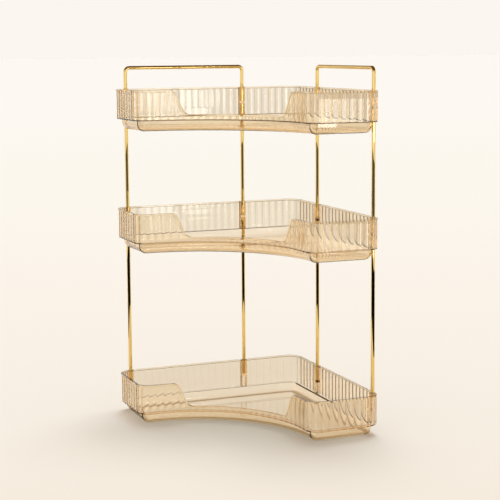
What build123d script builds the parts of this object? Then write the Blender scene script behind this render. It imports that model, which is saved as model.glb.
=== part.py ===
from build123d import *
import math
import os

# Corner counter organizer: three clear fluted trays on straight poles, with two wire handles on top
# Millimetres, +Z up; the straight back walls face +X and +Y, and the concave front faces -X -Y
# The origin is below the middle of the trays' square outline, on the surface that the organizer stands on

# Tray plan, over the rim
tray_side = 241.0
arm_depth = 90.5
arm_tip_length = 20.5
back_corner_radius = 18.0
end_corner_radius = 17.0
front_corner_radius = 16.0

# Tray section, heights from the underside of the tray
tray_height = 47.6
pan_height = 12.3
pan_inset = 7.0
pan_edge_radius = 8.0
pan_wall = 2.2
floor_thickness = 2.4
floor_edge_radius = 6.0
ledge_thickness = 1.2

# Wall, from the rim inwards
rim_height = 2.0
rim_overhang = 0.5
flute_pitch = 9.45
flute_depth = 0.85
wall_core = 1.6

# Front opening: a low lip between two S-curved shoulders
lip_height = 19.3
opening_floor_width = 124.0
opening_top_width = 145.0
shoulder_radius = 8.0

# Poles and the sockets that hold them
pole_diameter = 4.4
lower_pole_length = 200.0
upper_pole_length = 140.0
pole_end_chamfer = 0.4
pole_inset = 4.5
pole_end_distance = 15.3
pole_spacing = 150.6
boss_diameter = 8.4
socket_clearance = 0.05
upper_socket_depth = 17.5
socket_partition = 3.0

# Wire handles
handle_rise = 25.0
handle_bend_radius = 5.0

# Worked out from the sizes above
half_side = tray_side / 2
front_arc_radius = tray_side - arm_depth - arm_tip_length
front_arc_centre = arm_tip_length - half_side
wall_inset = rim_overhang + flute_depth + wall_core
ledge_top = pan_height + ledge_thickness
cut_margin = tray_height
socket_floor = tray_height - upper_socket_depth
socket_ceiling = socket_floor - socket_partition
middle_tray_base = lower_pole_length + socket_partition
top_tray_base = middle_tray_base + upper_pole_length + socket_partition


def outline_rows(inset):
    """Lines and arcs of the tray's plan, moved in by inset, from the back corner round by the left end.

    They are grouped in rows of flutes: the short straights beside the concave front go with the corners.
    """
    half = half_side - inset
    arm_front = half_side - arm_depth + inset
    back = back_corner_radius - inset
    end = end_corner_radius - inset
    front = front_corner_radius - inset
    return [
        [CenterArc((half - back, half - back), back, 0, 90)],
        [Line((half - back, half), (end - half, half))],
        [CenterArc((end - half, half - end), end, 90, 90)],
        [Line((-half, half - end), (-half, arm_front + front))],
        [
            CenterArc((front - half, arm_front + front), front, 180, 90),
            Line((front - half, arm_front), (front_arc_centre, arm_front)),
        ],
        [CenterArc((front_arc_centre, front_arc_centre), front_arc_radius + inset, 90, -90)],
        [
            Line((arm_front, front_arc_centre), (arm_front, front - half)),
            CenterArc((arm_front + front, front - half), front, 180, 90),
        ],
        [Line((arm_front + front, -half), (half - end, -half))],
        [CenterArc((half - end, end - half), end, 270, 90)],
        [Line((half, end - half), (half, half - back))],
    ]


def outline(inset):
    """The plan as one list of lines and arcs."""
    return [edge for row in outline_rows(inset) for edge in row]


def along(row, share):
    """Point at a share of the length of a row of joined edges."""
    distance = share * sum(edge.length for edge in row)
    for edge in row:
        if distance <= edge.length:
            return edge @ (distance / edge.length)
        distance -= edge.length
    return row[-1] @ 1


def fluted_outline():
    """The plan with shallow hollow flutes along its rows, meeting in upright ridges."""
    flutes = []
    ridges = outline_rows(rim_overhang)
    valleys = outline_rows(rim_overhang + flute_depth)
    for ridge, valley in zip(ridges, valleys):
        count = max(1, round(sum(edge.length for edge in valley) / flute_pitch))
        for index in range(count):
            start = along(ridge, index / count)
            deepest = along(valley, (index + 0.5) / count)
            stop = along(ridge, (index + 1) / count)
            flutes.append(ThreePointArc(start, deepest, stop))
    return flutes


def prism(edges, low, high):
    """Upright solid over a closed plan outline, between two heights."""
    face = Face(Wire(edges))
    return Pos(0, 0, low) * extrude(face, amount=high - low, dir=(0, 0, 1))


def rounded_pan(inset, low, high, radius):
    """Upright solid over the smooth plan with a rounded lower edge."""
    block = prism(outline(inset), low, high)
    lowest = block.edges().group_by(Axis.Z)[0]
    return fillet(lowest, radius)


def front_opening(grow):
    """Space over the front lip, between the S-curved shoulders, wider all round by grow."""
    slope = math.atan2(tray_height - lip_height, (opening_top_width - opening_floor_width) / 2)
    shift = grow * math.tan(slope / 2)
    low = opening_floor_width / 2 + shift
    top = opening_top_width / 2 + shift
    low_z = lip_height - grow
    top_z = tray_height - grow
    sky = tray_height + cut_margin
    edge = FilletPolyline(
        (-tray_side, top_z), (-top, top_z), (-low, low_z), (low, low_z), (top, top_z), (tray_side, top_z),
        radius=[shoulder_radius - grow, shoulder_radius + grow, shoulder_radius + grow, shoulder_radius - grow],
    )
    closing = Polyline((tray_side, top_z), (tray_side, sky), (-tray_side, sky), (-tray_side, top_z))
    face = Face(Wire(edge.edges() + closing.edges()))
    # The cut starts a little behind the middle of the concave wall and runs out through the front
    wall_middle = -math.sqrt(2) * front_arc_centre - front_arc_radius
    start = (wall_middle - 2 * wall_inset) / math.sqrt(2)
    diagonal = Plane(origin=(-start, -start, 0), x_dir=(1, -1, 0), z_dir=(-1, -1, 0))
    return extrude(diagonal * face, amount=tray_side)


def pole_places():
    """Pole axes in plan by name, two along each back wall."""
    line = half_side - pole_inset
    end = pole_end_distance - half_side
    inner = end + pole_spacing
    return {
        "left_end": (end, line),
        "left_inner": (inner, line),
        "right_inner": (line, inner),
        "right_end": (line, end),
    }


def upright(diameter, low, high, place):
    """Round bar or hole between two heights at a place in plan."""
    bar = Cylinder(diameter / 2, high - low, align=(Align.CENTER, Align.CENTER, Align.MIN))
    return Pos(place[0], place[1], low) * bar


def make_tray():
    """One moulded tray standing on its underside."""
    band_top = Pos(0, 0, tray_height - rim_height) * Box(
        2 * tray_side, 2 * tray_side, cut_margin, align=(Align.CENTER, Align.CENTER, Align.MIN)
    )
    border = band_top + front_opening(rim_height)
    fluted = prism(fluted_outline(), pan_height, tray_height) - border
    rim = prism(outline(0), pan_height, tray_height) & border
    tray = rounded_pan(pan_inset, 0, ledge_top, pan_edge_radius) + fluted + rim
    tray -= front_opening(0)
    tray -= prism(outline(wall_inset), ledge_top, tray_height + cut_margin)
    tray -= rounded_pan(pan_inset + pan_wall, floor_thickness, tray_height, floor_edge_radius)
    hole = pole_diameter + 2 * socket_clearance
    for place in pole_places().values():
        tray += upright(boss_diameter, pan_height, tray_height, place)
    for place in pole_places().values():
        tray -= upright(hole, socket_floor, tray_height + cut_margin, place)
        tray -= upright(hole, -cut_margin, socket_ceiling, place)
    return tray


def make_pole(length):
    """Straight pole standing at the origin, with a small chamfer at both ends."""
    pole = upright(pole_diameter, 0, length, (0, 0))
    rings = pole.edges().filter_by(GeomType.CIRCLE)
    return chamfer(rings, pole_end_chamfer)


def make_handle(first, second):
    """U-shaped wire whose two legs stand in the top tray's sockets."""
    foot = top_tray_base + socket_floor
    bar = top_tray_base + tray_height + handle_rise
    path = FilletPolyline(
        (*first, foot), (*first, bar), (*second, bar), (*second, foot), radius=handle_bend_radius
    )
    section = Plane(origin=(*first, foot), z_dir=(0, 0, 1)) * Circle(pole_diameter / 2)
    return sweep(section, path=path)


def main():
    os.makedirs("parts", exist_ok=True)
    pieces = {}
    tray = make_tray()
    pieces["bottom_tray"] = tray
    pieces["middle_tray"] = Pos(0, 0, middle_tray_base) * tray
    pieces["top_tray"] = Pos(0, 0, top_tray_base) * tray

    lower_pole = make_pole(lower_pole_length)
    upper_pole = make_pole(upper_pole_length)
    places = pole_places()
    for name, place in places.items():
        pieces["lower_pole_" + name] = Pos(*place, socket_floor) * lower_pole
        pieces["upper_pole_" + name] = Pos(*place, middle_tray_base + socket_floor) * upper_pole
    pieces["left_handle"] = make_handle(places["left_end"], places["left_inner"])
    pieces["right_handle"] = make_handle(places["right_end"], places["right_inner"])

    for node, shape in pieces.items():
        export_step(shape, f"parts/{node}.step")


main()
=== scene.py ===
import math

import bmesh
import bpy
import numpy as np
from mathutils import Matrix, Vector


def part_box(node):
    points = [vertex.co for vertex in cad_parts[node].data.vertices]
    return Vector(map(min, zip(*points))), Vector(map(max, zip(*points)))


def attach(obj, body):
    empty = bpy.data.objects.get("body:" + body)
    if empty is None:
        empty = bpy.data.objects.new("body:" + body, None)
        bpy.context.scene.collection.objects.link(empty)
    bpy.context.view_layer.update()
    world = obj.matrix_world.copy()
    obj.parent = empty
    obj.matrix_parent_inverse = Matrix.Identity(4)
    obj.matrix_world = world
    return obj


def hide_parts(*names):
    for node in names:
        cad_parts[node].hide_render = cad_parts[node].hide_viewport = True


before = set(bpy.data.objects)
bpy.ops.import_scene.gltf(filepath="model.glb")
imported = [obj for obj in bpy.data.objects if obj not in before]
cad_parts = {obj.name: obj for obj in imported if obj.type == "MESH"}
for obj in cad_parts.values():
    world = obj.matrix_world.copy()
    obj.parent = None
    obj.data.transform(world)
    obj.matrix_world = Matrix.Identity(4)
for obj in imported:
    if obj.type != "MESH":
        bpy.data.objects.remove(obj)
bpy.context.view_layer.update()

MM = 0.001

# Tray sizes in millimetres, as in the CAD source
TRAY_SIDE = 241.0
HALF = TRAY_SIDE / 2
ARM_DEPTH = 90.5
ARM_TIP = 20.5
BACK_CORNER = 18.0
END_CORNER = 17.0
FRONT_CORNER = 16.0
TRAY_HEIGHT = 47.6
PAN_HEIGHT = 12.3
PAN_INSET = 7.0
PAN_EDGE = 8.0
PAN_WALL = 2.2
FLOOR = 2.4
FLOOR_EDGE = 6.0
LEDGE_THICKNESS = 1.2
LEDGE_TOP = PAN_HEIGHT + LEDGE_THICKNESS
RIM_HEIGHT = 2.0
RIM_OVERHANG = 0.5
FLUTE_PITCH = 9.45
FLUTE_DEPTH = 0.85
VALLEY = RIM_OVERHANG + FLUTE_DEPTH
WALL_CORE = 1.6
WALL_INSET = VALLEY + WALL_CORE
LIP_HEIGHT = 19.3
OPENING_FLOOR = 124.0
OPENING_TOP = 145.0
SHOULDER = 8.0
POLE = 4.4
BOSS = 8.4
SOCKET_CLEARANCE = 0.05
HOLE = POLE + 2 * SOCKET_CLEARANCE
POLE_INSET = 4.5
POLE_END = 15.3
POLE_SPACING = 150.6
UPPER_SOCKET = 17.5
SOCKET_PARTITION = 3.0
SOCKET_FLOOR = TRAY_HEIGHT - UPPER_SOCKET
SOCKET_CEILING = SOCKET_FLOOR - SOCKET_PARTITION

# Edge roundings that only the visual tray has: rim, small edges, top of the pan, foot of the outer wall
SOFT = 0.3
CRISP = 0.15
PAN_LIP = 1.6
FOOT = 0.6

# Samples along one flute, and along a flute beside a boss or an S-curved shoulder
PHASES = (0.0, 0.05, 0.14, 0.26, 0.38, 0.5, 0.62, 0.74, 0.86, 0.95)
FINE_COUNT = 26
FINE_PHASES = tuple(i / FINE_COUNT for i in range(FINE_COUNT))
BOSS_ZONE = 11
SHOULDER_ZONE = (48, 84)

POLE_PLACES = [
    (POLE_END - HALF, HALF - POLE_INSET),
    (POLE_END + POLE_SPACING - HALF, HALF - POLE_INSET),
    (HALF - POLE_INSET, POLE_END + POLE_SPACING - HALF),
    (HALF - POLE_INSET, POLE_END - HALF),
]

# Amber moulding and gold plate
AMBER_DEPTH = (0.96, 0.69, 0.18)
AMBER_DENSITY = 150.0
AMBER_SHADOW = (0.82, 0.85, 0.90)
GOLD_TONES = ((0.3, (0.80, 0.57, 0.19)), (0.7, (0.90, 0.67, 0.27)))

# Light: an even fill and one soft sun
LAMP = (1.0, 0.985, 0.965)
FILL = 0.38
SUN = 2.14
SUN_ANGLE = 30
SUN_FROM = (0.36, 0.52, 2.0)

# Surroundings: the direction away from the camera in degrees, the bays round the object, and their tones
AWAY = 68.0
BAYS = 14.0
BACKDROP = (0.965, 0.922, 0.871)
BAY = (0.80, 0.73, 0.65)
# SHADE is the colour of the floor's painted shade: its darker bays and the patch behind the object, seen only
# through the trays
SHADE = (0.10, 0.085, 0.07)
CEILING = (0.14, 0.072, 0.022)

# Floor tones by distance in metres, on a ramp of FLOOR_RAMP metres: painted shade, the floor darker and warmer
# near the object and paler far off
FLOOR_SIZE = 60000.0
FLOOR_RAMP = 10.0
FLOOR_TONES_WITH_PAINTED_SHADE = [
    (0.0, (0.900, 0.826, 0.737)),
    (0.22, (0.910, 0.853, 0.775)),
    (0.64, (0.920, 0.866, 0.790)),
    (1.33, (0.937, 0.882, 0.818)),
    (2.74, (0.939, 0.912, 0.846)),
    (8.0, (0.948, 0.922, 0.884)),
]

# Cards seen only in reflections: direction and spread in degrees, reach, lowest and highest point, strength
CARD_GLOW = (0.92, 0.98, 1.0)
CARD_STEPS = 24
CARDS = [
    ("low_flag", 248, 200, 560.0, 0.0, 125.0, 0.005),
    ("pole_flag", 248, 150, 560.0, 170.0, 280.0, 0.1),
    ("left_softbox", 258, 20, 540.0, 290.0, 430.0, 1.5),
    ("right_low_softbox", 288.5, 18, 330.0, 175.0, 222.0, 4.0),
    ("right_softbox", 288.5, 18, 330.0, 322.0, 378.0, 7.0),
]

# Camera: focal length, frame and centre line in pixels, turns in degrees, place in millimetres
FOCAL_PX, FRAME_PX, CENTRE_PX = 1405.81, 500.0, 225.0
CAMERA_TURNS = (21.9708, 7.1972, -0.4089)
CAMERA_PLACE = (-602.93, -1514.96, 441.88)
SENSOR = 36.0
BOUNCES = 32


def plan_stretches():
    """The tray's plan as lines (start, end, inward normal) and arcs (centre, radius, angles, inward sign)."""
    arm = HALF - ARM_DEPTH
    c = ARM_TIP - HALF
    back, end, front = BACK_CORNER, END_CORNER, FRONT_CORNER
    return [
        ("arc", (HALF - back, HALF - back), back, 0, 90, -1),
        ("line", (HALF - back, HALF), (end - HALF, HALF), (0, -1)),
        ("arc", (end - HALF, HALF - end), end, 90, 180, -1),
        ("line", (-HALF, HALF - end), (-HALF, arm + front), (1, 0)),
        ("arc", (front - HALF, arm + front), front, 180, 270, -1),
        ("line", (front - HALF, arm), (c, arm), (0, 1)),
        ("arc", (c, c), TRAY_SIDE - ARM_DEPTH - ARM_TIP, 90, 0, 1),
        ("line", (arm, c), (arm, front - HALF), (1, 0)),
        ("arc", (arm + front, front - HALF), front, 180, 270, -1),
        ("line", (arm + front, -HALF), (HALF - end, -HALF), (0, 1)),
        ("arc", (HALF - end, end - HALF), end, 270, 360, -1),
        ("line", (HALF, end - HALF), (HALF, HALF - back), (-1, 0)),
    ]


def station(stretch, u):
    """Point on the rim outline and its inward normal, at share u of a stretch."""
    if stretch[0] == "line":
        a, b = np.array(stretch[1]), np.array(stretch[2])
        return a + (b - a) * u, np.array(stretch[3], float)
    _, centre, radius, first, last, sign = stretch
    angle = math.radians(first + (last - first) * u)
    way = np.array((math.cos(angle), math.sin(angle)))
    return np.array(centre) + way * radius, way * sign


def stretch_length(stretch):
    """Length of a stretch, measured along the bottoms of its flutes."""
    if stretch[0] == "line":
        return float(np.hypot(*(np.array(stretch[2]) - np.array(stretch[1]))))
    return math.radians(abs(stretch[4] - stretch[3])) * (stretch[2] + VALLEY * stretch[5])


def flute_rows():
    """Stretches grouped into rows of flutes: the short straights beside the concave front join the corners."""
    s = plan_stretches()
    return [[s[0]], [s[1]], [s[2]], [s[3]], [s[4], s[5]], [s[6]], [s[7], s[8]], [s[9]], [s[10]], [s[11]]]


def needs_fine(point):
    """True beside a boss or on an S-curved shoulder."""
    across = abs(point[0] - point[1]) / math.sqrt(2)
    on_front = point[0] + point[1] < 0 and min(point) > -HALF * 0.9 and max(point) < HALF - ARM_DEPTH + 1
    if on_front and SHOULDER_ZONE[0] < across < SHOULDER_ZONE[1]:
        return True
    return any(math.hypot(point[0] - x, point[1] - y) < BOSS_ZONE for x, y in POLE_PLACES)


def row_station(row, u):
    """Point and inward normal at share u of a row of stretches."""
    lengths = [stretch_length(stretch) for stretch in row]
    along = u * sum(lengths)
    for stretch, length in zip(row, lengths):
        if along <= length or stretch is row[-1]:
            return station(stretch, min(along / length, 1.0))
        along -= length


def plan_stations():
    """Arrays of rim points, inward normals, flute insets and a flag for the concave front."""
    points, normals, flutes, front = [], [], [], []
    for row in flute_rows():
        length = sum(stretch_length(stretch) for stretch in row)
        count = max(1, round(length / FLUTE_PITCH))
        chord = length / count
        radius = (chord * chord / 4 + FLUTE_DEPTH * FLUTE_DEPTH) / (2 * FLUTE_DEPTH)
        for index in range(count):
            middle, _ = row_station(row, (index + 0.5) / count)
            for phase in FINE_PHASES if needs_fine(middle) else PHASES:
                point, normal = row_station(row, (index + phase) / count)
                rise = math.sqrt(radius ** 2 - ((phase - 0.5) * chord) ** 2) - (radius - FLUTE_DEPTH)
                points.append(point)
                normals.append(normal)
                flutes.append(RIM_OVERHANG + rise)
                front.append(row[0][-1] == 1)
    return np.array(points), np.array(normals), np.array(flutes), np.array(front)


def inner_insets(points, normals):
    """How far the inner wall stands in from the rim outline, bosses included."""
    inner = np.full(len(points), WALL_INSET)
    for place in POLE_PLACES:
        to_axis = np.array(place) - points
        along = (to_axis * normals).sum(1)
        aside = (to_axis ** 2).sum(1) - along ** 2
        far = along + np.sqrt(np.maximum((BOSS / 2) ** 2 - aside, 0))
        hit = (aside < (BOSS / 2) ** 2) & (far < 3 * BOSS / 2)
        inner = np.where(hit, np.maximum(inner, far), inner)
    return inner


def wall_top(points, front, depth):
    """Height of the wall's upper edge less depth, measured square to the edge, with the S-curved opening."""
    across = np.abs(points[:, 0] - points[:, 1]) / math.sqrt(2)
    slope = math.atan2(TRAY_HEIGHT - LIP_HEIGHT, (OPENING_TOP - OPENING_FLOOR) / 2)
    bend = math.tan(slope / 2)
    low, top = OPENING_FLOOR / 2 + depth * bend, OPENING_TOP / 2 + depth * bend
    low_z, top_z = LIP_HEIGHT - depth, TRAY_HEIGHT - depth
    r_low, r_top = SHOULDER + depth, SHOULDER - depth
    c_low, c_top = low - r_low * bend, top + r_top * bend
    z = low_z + (across - low) / (top - low) * (top_z - low_z)
    in_low = across < c_low + r_low * math.sin(slope)
    z = np.where(in_low, low_z + r_low - np.sqrt(np.maximum(r_low ** 2 - (across - c_low) ** 2, 0)), z)
    in_top = across > c_top - r_top * math.sin(slope)
    z = np.where(in_top, top_z - r_top + np.sqrt(np.maximum(r_top ** 2 - (across - c_top) ** 2, 0)), z)
    z = np.where(across < c_low, low_z, z)
    z = np.where(across > c_top, top_z, z)
    return np.where(front, z, top_z)


def tray_rings():
    """Rings of the tray's surface from the underside round the rim to the inner floor, in millimetres."""
    points, normals, flutes, front = plan_stations()
    inner = inner_insets(points, normals)
    rings = []

    def at(inset, z=None, depth=None):
        plan = points + normals * np.reshape(inset, (-1, 1))
        height = wall_top(plan, front, depth) if z is None else np.full(len(plan), z)
        rings.append(np.column_stack([plan, height]))

    edge = PAN_INSET + PAN_EDGE
    for step in range(8):
        turn = math.radians(90 * step / 7)
        at(edge - PAN_EDGE * math.sin(turn), PAN_EDGE - PAN_EDGE * math.cos(turn))
    at(PAN_INSET, PAN_HEIGHT - CRISP)
    at(PAN_INSET - CRISP * 0.3, PAN_HEIGHT - CRISP * 0.3)
    at(PAN_INSET - CRISP, PAN_HEIGHT)
    for step in range(5):
        turn = math.radians(90 * step / 4)
        at(flutes + FOOT - FOOT * math.sin(turn), PAN_HEIGHT + FOOT - FOOT * math.cos(turn))
    at(flutes, depth=RIM_HEIGHT + CRISP)
    at(flutes * 0.7, depth=RIM_HEIGHT + CRISP * 0.3)
    at(RIM_OVERHANG * 0.3, depth=RIM_HEIGHT - CRISP * 0.3)
    at(0.0, depth=RIM_HEIGHT - CRISP)
    for step in range(5):
        turn = math.radians(90 * step / 4)
        at(SOFT - SOFT * math.cos(turn), depth=SOFT - SOFT * math.sin(turn))
    for step in range(5):
        turn = math.radians(90 * step / 4)
        at(inner - SOFT + SOFT * math.sin(turn), depth=SOFT - SOFT * math.cos(turn))
    at(inner, LEDGE_TOP + CRISP)
    at(inner + CRISP * 0.3, LEDGE_TOP + CRISP * 0.3)
    pan = PAN_INSET + PAN_WALL
    at(np.minimum(inner + CRISP, pan - PAN_LIP - CRISP), LEDGE_TOP)
    for step in range(7):
        turn = math.radians(90 * step / 6)
        at(pan - PAN_LIP + PAN_LIP * math.sin(turn), LEDGE_TOP - PAN_LIP + PAN_LIP * math.cos(turn))
    for step in range(8):
        turn = math.radians(90 * step / 7)
        at(pan + FLOOR_EDGE - FLOOR_EDGE * math.cos(turn), FLOOR + FLOOR_EDGE - FLOOR_EDGE * math.sin(turn))
    return rings


def mesh_from(name, vertices, faces):
    """A mesh in metres with outward normals, from millimetres."""
    mesh = bpy.data.meshes.new(name)
    mesh.from_pydata([tuple(v) for v in np.asarray(vertices) * MM], [], faces)
    shell = bmesh.new()
    shell.from_mesh(mesh)
    bmesh.ops.recalc_face_normals(shell, faces=shell.faces)
    shell.to_mesh(mesh)
    shell.free()
    return mesh


def bar_mesh(name, radius, low, high, places, sides=40):
    """Plain upright bars at several places, as cutters for the sockets."""
    vertices, faces = [], []
    for x, y in places:
        first = len(vertices)
        for z in (low, high):
            for side in range(sides):
                turn = 2 * math.pi * side / sides
                vertices.append((x + radius * math.cos(turn), y + radius * math.sin(turn), z))
        for side in range(sides):
            other = (side + 1) % sides
            faces.append((first + side, first + other, first + sides + other, first + sides + side))
        faces.append(tuple(first + side for side in reversed(range(sides))))
        faces.append(tuple(first + sides + side for side in range(sides)))
    return mesh_from(name, vertices, faces)


def add_object(name, mesh):
    """A new object in the scene."""
    made = bpy.data.objects.new(name, mesh)
    bpy.context.scene.collection.objects.link(made)
    return made


def tray_mesh():
    """One tray standing on z = 0: a swept shell with its eight pole sockets cut in."""
    rings = tray_rings()
    count = len(rings[0])
    faces = [tuple(range(count))]
    for ring in range(len(rings) - 1):
        for side in range(count):
            other = (side + 1) % count
            low, high = ring * count, (ring + 1) * count
            faces.append((low + side, low + other, high + other, high + side))
    faces.append(tuple((len(rings) - 1) * count + side for side in range(count)))
    body = add_object("tray_shell", mesh_from("tray_shell", np.concatenate(rings), faces))
    sockets = (
        ("upper_sockets", SOCKET_FLOOR, 2 * TRAY_HEIGHT),
        ("lower_sockets", -TRAY_HEIGHT, SOCKET_CEILING),
    )
    cutters = [
        add_object(name, bar_mesh(name, HOLE / 2, low, high, POLE_PLACES)) for name, low, high in sockets
    ]
    for cutter in cutters:
        cut = body.modifiers.new(cutter.name, "BOOLEAN")
        cut.operation = "DIFFERENCE"
        cut.solver = "EXACT"
        cut.object = cutter
    graph = bpy.context.evaluated_depsgraph_get()
    mesh = bpy.data.meshes.new_from_object(body.evaluated_get(graph))
    mesh.shade_smooth()
    mesh.set_sharp_from_angle(angle=math.radians(50))
    # Normals follow the large faces, so that the walls stay optically flat beside their rounded edges
    settled = add_object("tray_settled", mesh)
    weigh = settled.modifiers.new("normals", "WEIGHTED_NORMAL")
    weigh.mode = "FACE_AREA"
    weigh.weight = 100
    weigh.keep_sharp = True
    graph = bpy.context.evaluated_depsgraph_get()
    tray = bpy.data.meshes.new_from_object(settled.evaluated_get(graph))
    for made in [body, *cutters, settled]:
        data = made.data
        bpy.data.objects.remove(made)
        bpy.data.meshes.remove(data)
    tray.name = "tray"
    return tray


def nodes_of(name):
    """A new material's node tree, cleared, with its output."""
    material = bpy.data.materials.new(name)
    material.use_nodes = True
    tree = material.node_tree
    tree.nodes.clear()
    return material, tree, tree.nodes.new("ShaderNodeOutputMaterial")


def amber_material():
    """Clear amber moulding: tinted by depth, with faint moulding ripple and haze."""
    material, tree, output = nodes_of("amber_clear")
    link = tree.links.new
    place = tree.nodes.new("ShaderNodeTexCoord")
    ripple = tree.nodes.new("ShaderNodeTexNoise")
    ripple.inputs["Scale"].default_value = 60.0
    ripple.inputs["Detail"].default_value = 2.0
    link(place.outputs["Object"], ripple.inputs["Vector"])
    bump = tree.nodes.new("ShaderNodeBump")
    bump.inputs["Strength"].default_value = 0.05
    bump.inputs["Distance"].default_value = 0.0005
    link(ripple.outputs["Fac"], bump.inputs["Height"])
    haze = tree.nodes.new("ShaderNodeMapRange")
    haze.inputs["To Min"].default_value = 0.0
    haze.inputs["To Max"].default_value = 0.03
    link(ripple.outputs["Fac"], haze.inputs["Value"])
    shader = tree.nodes.new("ShaderNodeBsdfPrincipled")
    shader.inputs["Base Color"].default_value = (1.0, 1.0, 1.0, 1.0)
    shader.inputs["IOR"].default_value = 1.5
    shader.inputs["Transmission Weight"].default_value = 1.0
    link(haze.outputs["Result"], shader.inputs["Roughness"])
    link(bump.outputs["Normal"], shader.inputs["Normal"])
    clear = tree.nodes.new("ShaderNodeBsdfTransparent")
    clear.inputs["Color"].default_value = (*AMBER_SHADOW, 1.0)
    path = tree.nodes.new("ShaderNodeLightPath")
    bounced = tree.nodes.new("ShaderNodeMixShader")
    link(path.outputs["Is Diffuse Ray"], bounced.inputs["Fac"])
    link(shader.outputs["BSDF"], bounced.inputs[1])
    link(clear.outputs["BSDF"], bounced.inputs[2])
    either = tree.nodes.new("ShaderNodeMixShader")
    link(path.outputs["Is Shadow Ray"], either.inputs["Fac"])
    link(bounced.outputs["Shader"], either.inputs[1])
    link(clear.outputs["BSDF"], either.inputs[2])
    link(either.outputs["Shader"], output.inputs["Surface"])
    depth = tree.nodes.new("ShaderNodeVolumeAbsorption")
    depth.inputs["Color"].default_value = (*AMBER_DEPTH, 1.0)
    depth.inputs["Density"].default_value = AMBER_DENSITY
    link(depth.outputs["Volume"], output.inputs["Volume"])
    return material


def gold_material():
    """Polished gold plate with faint drawn streaks and small changes of colour and gloss."""
    material, tree, output = nodes_of("gold_plate")
    link = tree.links.new
    place = tree.nodes.new("ShaderNodeTexCoord")
    stretch = tree.nodes.new("ShaderNodeMapping")
    stretch.inputs["Scale"].default_value = (900.0, 900.0, 30.0)
    link(place.outputs["Object"], stretch.inputs["Vector"])
    streaks = tree.nodes.new("ShaderNodeTexNoise")
    streaks.inputs["Scale"].default_value = 1.0
    streaks.inputs["Detail"].default_value = 3.0
    link(stretch.outputs["Vector"], streaks.inputs["Vector"])
    tone = tree.nodes.new("ShaderNodeValToRGB")
    for stop, (position, colour) in zip(tone.color_ramp.elements, GOLD_TONES):
        stop.position = position
        stop.color = (*colour, 1.0)
    link(streaks.outputs["Fac"], tone.inputs["Fac"])
    gloss = tree.nodes.new("ShaderNodeMapRange")
    gloss.inputs["To Min"].default_value = 0.01
    gloss.inputs["To Max"].default_value = 0.05
    link(streaks.outputs["Fac"], gloss.inputs["Value"])
    shader = tree.nodes.new("ShaderNodeBsdfPrincipled")
    shader.inputs["Metallic"].default_value = 1.0
    link(tone.outputs["Color"], shader.inputs["Base Color"])
    link(gloss.outputs["Result"], shader.inputs["Roughness"])
    link(shader.outputs["BSDF"], output.inputs["Surface"])
    return material


amber = amber_material()
gold = gold_material()

tray = tray_mesh()
tray.materials.clear()
tray.materials.append(amber)
for node, body in (("bottom_tray", "base_tier"), ("middle_tray", "middle_tier"), ("top_tray", "top_tier")):
    piece = add_object(node + "_shell", tray)
    piece.location = (0, 0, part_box(node)[0].z)
    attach(piece, body)
    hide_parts(node)

for node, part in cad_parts.items():
    part.data.materials.clear()
    part.data.materials.append(amber if node.endswith("tray") else gold)


def math_node(tree, operation, first, second):
    """Output of a maths node over two sockets or numbers."""
    made = tree.nodes.new("ShaderNodeMath")
    made.operation = operation
    for slot, value in enumerate((first, second)):
        if isinstance(value, (int, float)):
            made.inputs[slot].default_value = value
        else:
            tree.links.new(value, made.inputs[slot])
    return made.outputs[0]


def range_node(tree, value, low, high, to_low, to_high, blend="LINEAR"):
    """Output of a map-range node."""
    made = tree.nodes.new("ShaderNodeMapRange")
    made.interpolation_type = blend
    for name, number in (("From Min", low), ("From Max", high), ("To Min", to_low), ("To Max", to_high)):
        made.inputs[name].default_value = number
    tree.links.new(value, made.inputs["Value"])
    return made.outputs["Result"]


def mix_colours(tree, share, first, second):
    """Colour output that runs from one colour socket to a fixed colour."""
    made = tree.nodes.new("ShaderNodeMix")
    made.data_type = "RGBA"
    tree.links.new(share, made.inputs[0])
    tree.links.new(first, made.inputs[6])
    made.inputs[7].default_value = (*second, 1)
    return made.outputs[2]


def bay_wave(tree, split):
    """Wave from -1 to 1 round the upright axis, for the bays of pale and darker surroundings in the world and
    of painted shade on the floor.
    """
    turn = math_node(tree, "ARCTAN2", split.outputs["Y"], split.outputs["X"])
    off = math_node(tree, "SUBTRACT", turn, math.radians(AWAY))
    return math_node(tree, "COSINE", math_node(tree, "MULTIPLY", off, BAYS), 0.0)


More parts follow.
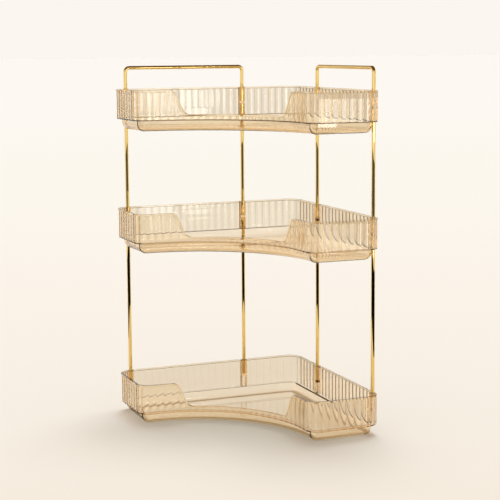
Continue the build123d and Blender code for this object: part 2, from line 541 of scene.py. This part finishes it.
def add_floor():
    """Pale floor with painted shade: deeper in tone near the object, darker bays that show only through the
    trays, and a darker patch behind the object, also seen only through the trays.
    """
    material, tree, output = nodes_of("floor")
    link = tree.links.new
    place = tree.nodes.new("ShaderNodeTexCoord")
    along = tree.nodes.new("ShaderNodeVectorMath")
    along.operation = "DOT_PRODUCT"
    along.inputs[1].default_value = (math.cos(math.radians(AWAY)), math.sin(math.radians(AWAY)), 0)
    link(place.outputs["Object"], along.inputs[0])
    away = math_node(tree, "ABSOLUTE", math_node(tree, "ADD", along.outputs["Value"], 0.3), 0.0)
    # Painted shade: the floor's colour deepens towards the object along the tone ramp
    colour = tree.nodes.new("ShaderNodeValToRGB")
    stops = colour.color_ramp.elements
    stops[0].color = (*FLOOR_TONES_WITH_PAINTED_SHADE[0][1], 1)
    stops[1].position = FLOOR_TONES_WITH_PAINTED_SHADE[-1][0] / FLOOR_RAMP
    stops[1].color = (*FLOOR_TONES_WITH_PAINTED_SHADE[-1][1], 1)
    for reach, tone in FLOOR_TONES_WITH_PAINTED_SHADE[1:-1]:
        stops.new(reach / FLOOR_RAMP).color = (*tone, 1)
    link(range_node(tree, away, 0.0, FLOOR_RAMP, 0.0, 1.0), colour.inputs["Fac"])
    split = tree.nodes.new("ShaderNodeSeparateXYZ")
    link(place.outputs["Object"], split.inputs[0])
    reach = tree.nodes.new("ShaderNodeVectorMath")
    reach.operation = "LENGTH"
    link(place.outputs["Object"], reach.inputs[0])
    # Painted shade: darker bays on the floor, fading in with distance, seen only through the trays
    bays = range_node(tree, bay_wave(tree, split), 1.0, -1.0, 0.15, 0.85)
    far = math_node(tree, "MULTIPLY", bays, range_node(tree, reach.outputs["Value"], 0.4, 3.0, 0.0, 0.4))
    # Painted shadow: a darker patch on the floor just behind the object, seen only through the trays
    behind = range_node(tree, split.outputs["Y"], 0.12, 0.2, 0.0, 0.13)
    painted_shadow_behind = math_node(tree, "MULTIPLY", behind, range_node(tree, reach.outputs["Value"], 0.5, 1.3, 1.0, 0.0))
    path = tree.nodes.new("ShaderNodeLightPath")
    bays_and_painted_shadow = math_node(tree, "ADD", far, painted_shadow_behind)
    shade = math_node(tree, "MULTIPLY", bays_and_painted_shadow, path.outputs["Is Transmission Ray"])
    shader = tree.nodes.new("ShaderNodeBsdfPrincipled")
    shader.inputs["Roughness"].default_value = 1.0
    shader.inputs["Specular IOR Level"].default_value = 0.0
    link(mix_colours(tree, shade, colour.outputs["Color"], SHADE), shader.inputs["Base Color"])
    link(shader.outputs["BSDF"], output.inputs["Surface"])
    corners = [(x * FLOOR_SIZE, y * FLOOR_SIZE, 0) for x, y in ((-1, -1), (1, -1), (1, 1), (-1, 1))]
    mesh = mesh_from("floor", corners, [(0, 1, 2, 3)])
    mesh.materials.append(material)
    made = add_object("floor", mesh)


def add_world():
    """Even fill; camera, mirror and glass rays see the cream backdrop, its darker bays and a dark ceiling."""
    world = bpy.data.worlds.new("studio")
    bpy.context.scene.world = world
    world.use_nodes = True
    tree = world.node_tree
    tree.nodes.clear()
    link = tree.links.new
    output = tree.nodes.new("ShaderNodeOutputWorld")
    path = tree.nodes.new("ShaderNodeLightPath")
    fill = tree.nodes.new("ShaderNodeBackground")
    fill.inputs["Color"].default_value = (*LAMP, 1)
    fill.inputs["Strength"].default_value = FILL
    place = tree.nodes.new("ShaderNodeTexCoord")
    split = tree.nodes.new("ShaderNodeSeparateXYZ")
    link(place.outputs["Generated"], split.inputs[0])
    bays = range_node(tree, bay_wave(tree, split), -1.0, 1.0, 0.0, 1.0)
    pale = tree.nodes.new("ShaderNodeValToRGB")
    pale.color_ramp.elements[0].color = (*BAY, 1)
    pale.color_ramp.elements[1].color = (*BACKDROP, 1)
    link(math_node(tree, "MAXIMUM", bays, path.outputs["Is Camera Ray"]), pale.inputs["Fac"])
    height = range_node(tree, split.outputs["Z"], 0.24, 0.5, 0.0, 1.0, "SMOOTHSTEP")
    backdrop = tree.nodes.new("ShaderNodeBackground")
    link(mix_colours(tree, height, pale.outputs["Color"], CEILING), backdrop.inputs["Color"])
    backdrop.inputs["Strength"].default_value = 1.0
    either = tree.nodes.new("ShaderNodeMixShader")
    link(math_node(tree, "LESS_THAN", path.outputs["Diffuse Depth"], 0.5), either.inputs["Fac"])
    link(fill.outputs[0], either.inputs[1])
    link(backdrop.outputs[0], either.inputs[2])
    link(either.outputs[0], output.inputs["Surface"])


def aim(item, place, target):
    """Puts a lamp in a place and turns it to a target."""
    item.location = place
    item.rotation_euler = (Vector(target) - Vector(place)).to_track_quat("-Z", "Y").to_euler()


def add_sun():
    """Soft key light from behind and above, which casts the shadow and shows in no reflection."""
    data = bpy.data.lights.new("key_sun", "SUN")
    data.energy = SUN
    data.angle = math.radians(SUN_ANGLE)
    data.color = LAMP
    made = bpy.data.objects.new("key_sun", data)
    bpy.context.scene.collection.objects.link(made)
    aim(made, SUN_FROM, (0, 0, 0))
    made.visible_glossy = False
    made.visible_transmission = False


def add_card(name, centre, spread, reach, low, high, strength):
    """A curved studio card round the object that shows only in reflections: dark, or a soft white glow."""
    vertices, faces = [], []
    for step in range(CARD_STEPS + 1):
        turn = math.radians(centre + spread * (step / CARD_STEPS - 0.5))
        for z in (low, high):
            vertices.append((reach * math.cos(turn), reach * math.sin(turn), z))
    for step in range(CARD_STEPS):
        first = 2 * step
        faces.append((first, first + 2, first + 3, first + 1))
    mesh = mesh_from(name, vertices, faces)
    material, tree, output = nodes_of(name)
    link = tree.links.new
    path = tree.nodes.new("ShaderNodeLightPath")
    mirrored = math_node(tree, "GREATER_THAN", path.outputs["Glossy Depth"], 0.5)
    clear = tree.nodes.new("ShaderNodeBsdfTransparent")
    glow = tree.nodes.new("ShaderNodeEmission")
    glow.inputs["Color"].default_value = (*CARD_GLOW, 1)
    glow.inputs["Strength"].default_value = strength
    either = tree.nodes.new("ShaderNodeMixShader")
    link(mirrored, either.inputs["Fac"])
    link(clear.outputs[0], either.inputs[1])
    link(glow.outputs[0], either.inputs[2])
    link(either.outputs[0], output.inputs["Surface"])
    mesh.materials.append(material)
    made = add_object(name, mesh)
    made.visible_camera = False
    made.visible_diffuse = False
    made.visible_shadow = False


def add_camera():
    """The photograph's camera, from the fit to the poles, rims and handles."""
    yaw, pitch, roll = (math.radians(a) for a in CAMERA_TURNS)
    ahead = Vector((math.sin(yaw) * math.cos(pitch), math.cos(yaw) * math.cos(pitch), -math.sin(pitch)))
    right = Vector((math.cos(yaw), -math.sin(yaw), 0))
    up = right.cross(ahead)
    right, up = right * math.cos(roll) + up * math.sin(roll), up * math.cos(roll) - right * math.sin(roll)
    data = bpy.data.cameras.new("camera")
    data.sensor_width = SENSOR
    data.lens = SENSOR * FOCAL_PX / FRAME_PX
    data.shift_y = (CENTRE_PX - FRAME_PX / 2) / FRAME_PX
    made = bpy.data.objects.new("camera", data)
    bpy.context.scene.collection.objects.link(made)
    place = Vector(CAMERA_PLACE) * MM
    turn = Matrix((right, up, -ahead)).transposed()
    made.matrix_world = Matrix.Translation(place) @ turn.to_4x4()
    data.clip_end = 300.0
    bpy.context.scene.camera = made


add_floor()
add_world()
add_sun()
for card in CARDS:
    add_card(*card)
add_camera()
bpy.context.scene.view_settings.view_transform = "Standard"
bpy.context.scene.cycles.transparent_max_bounces = BOUNCES
bpy.context.scene.cycles.max_bounces = BOUNCES
bpy.context.scene.cycles.transmission_bounces = BOUNCES
bpy.context.scene.cycles.caustics_refractive = False
bpy.context.scene.cycles.caustics_reflective = False
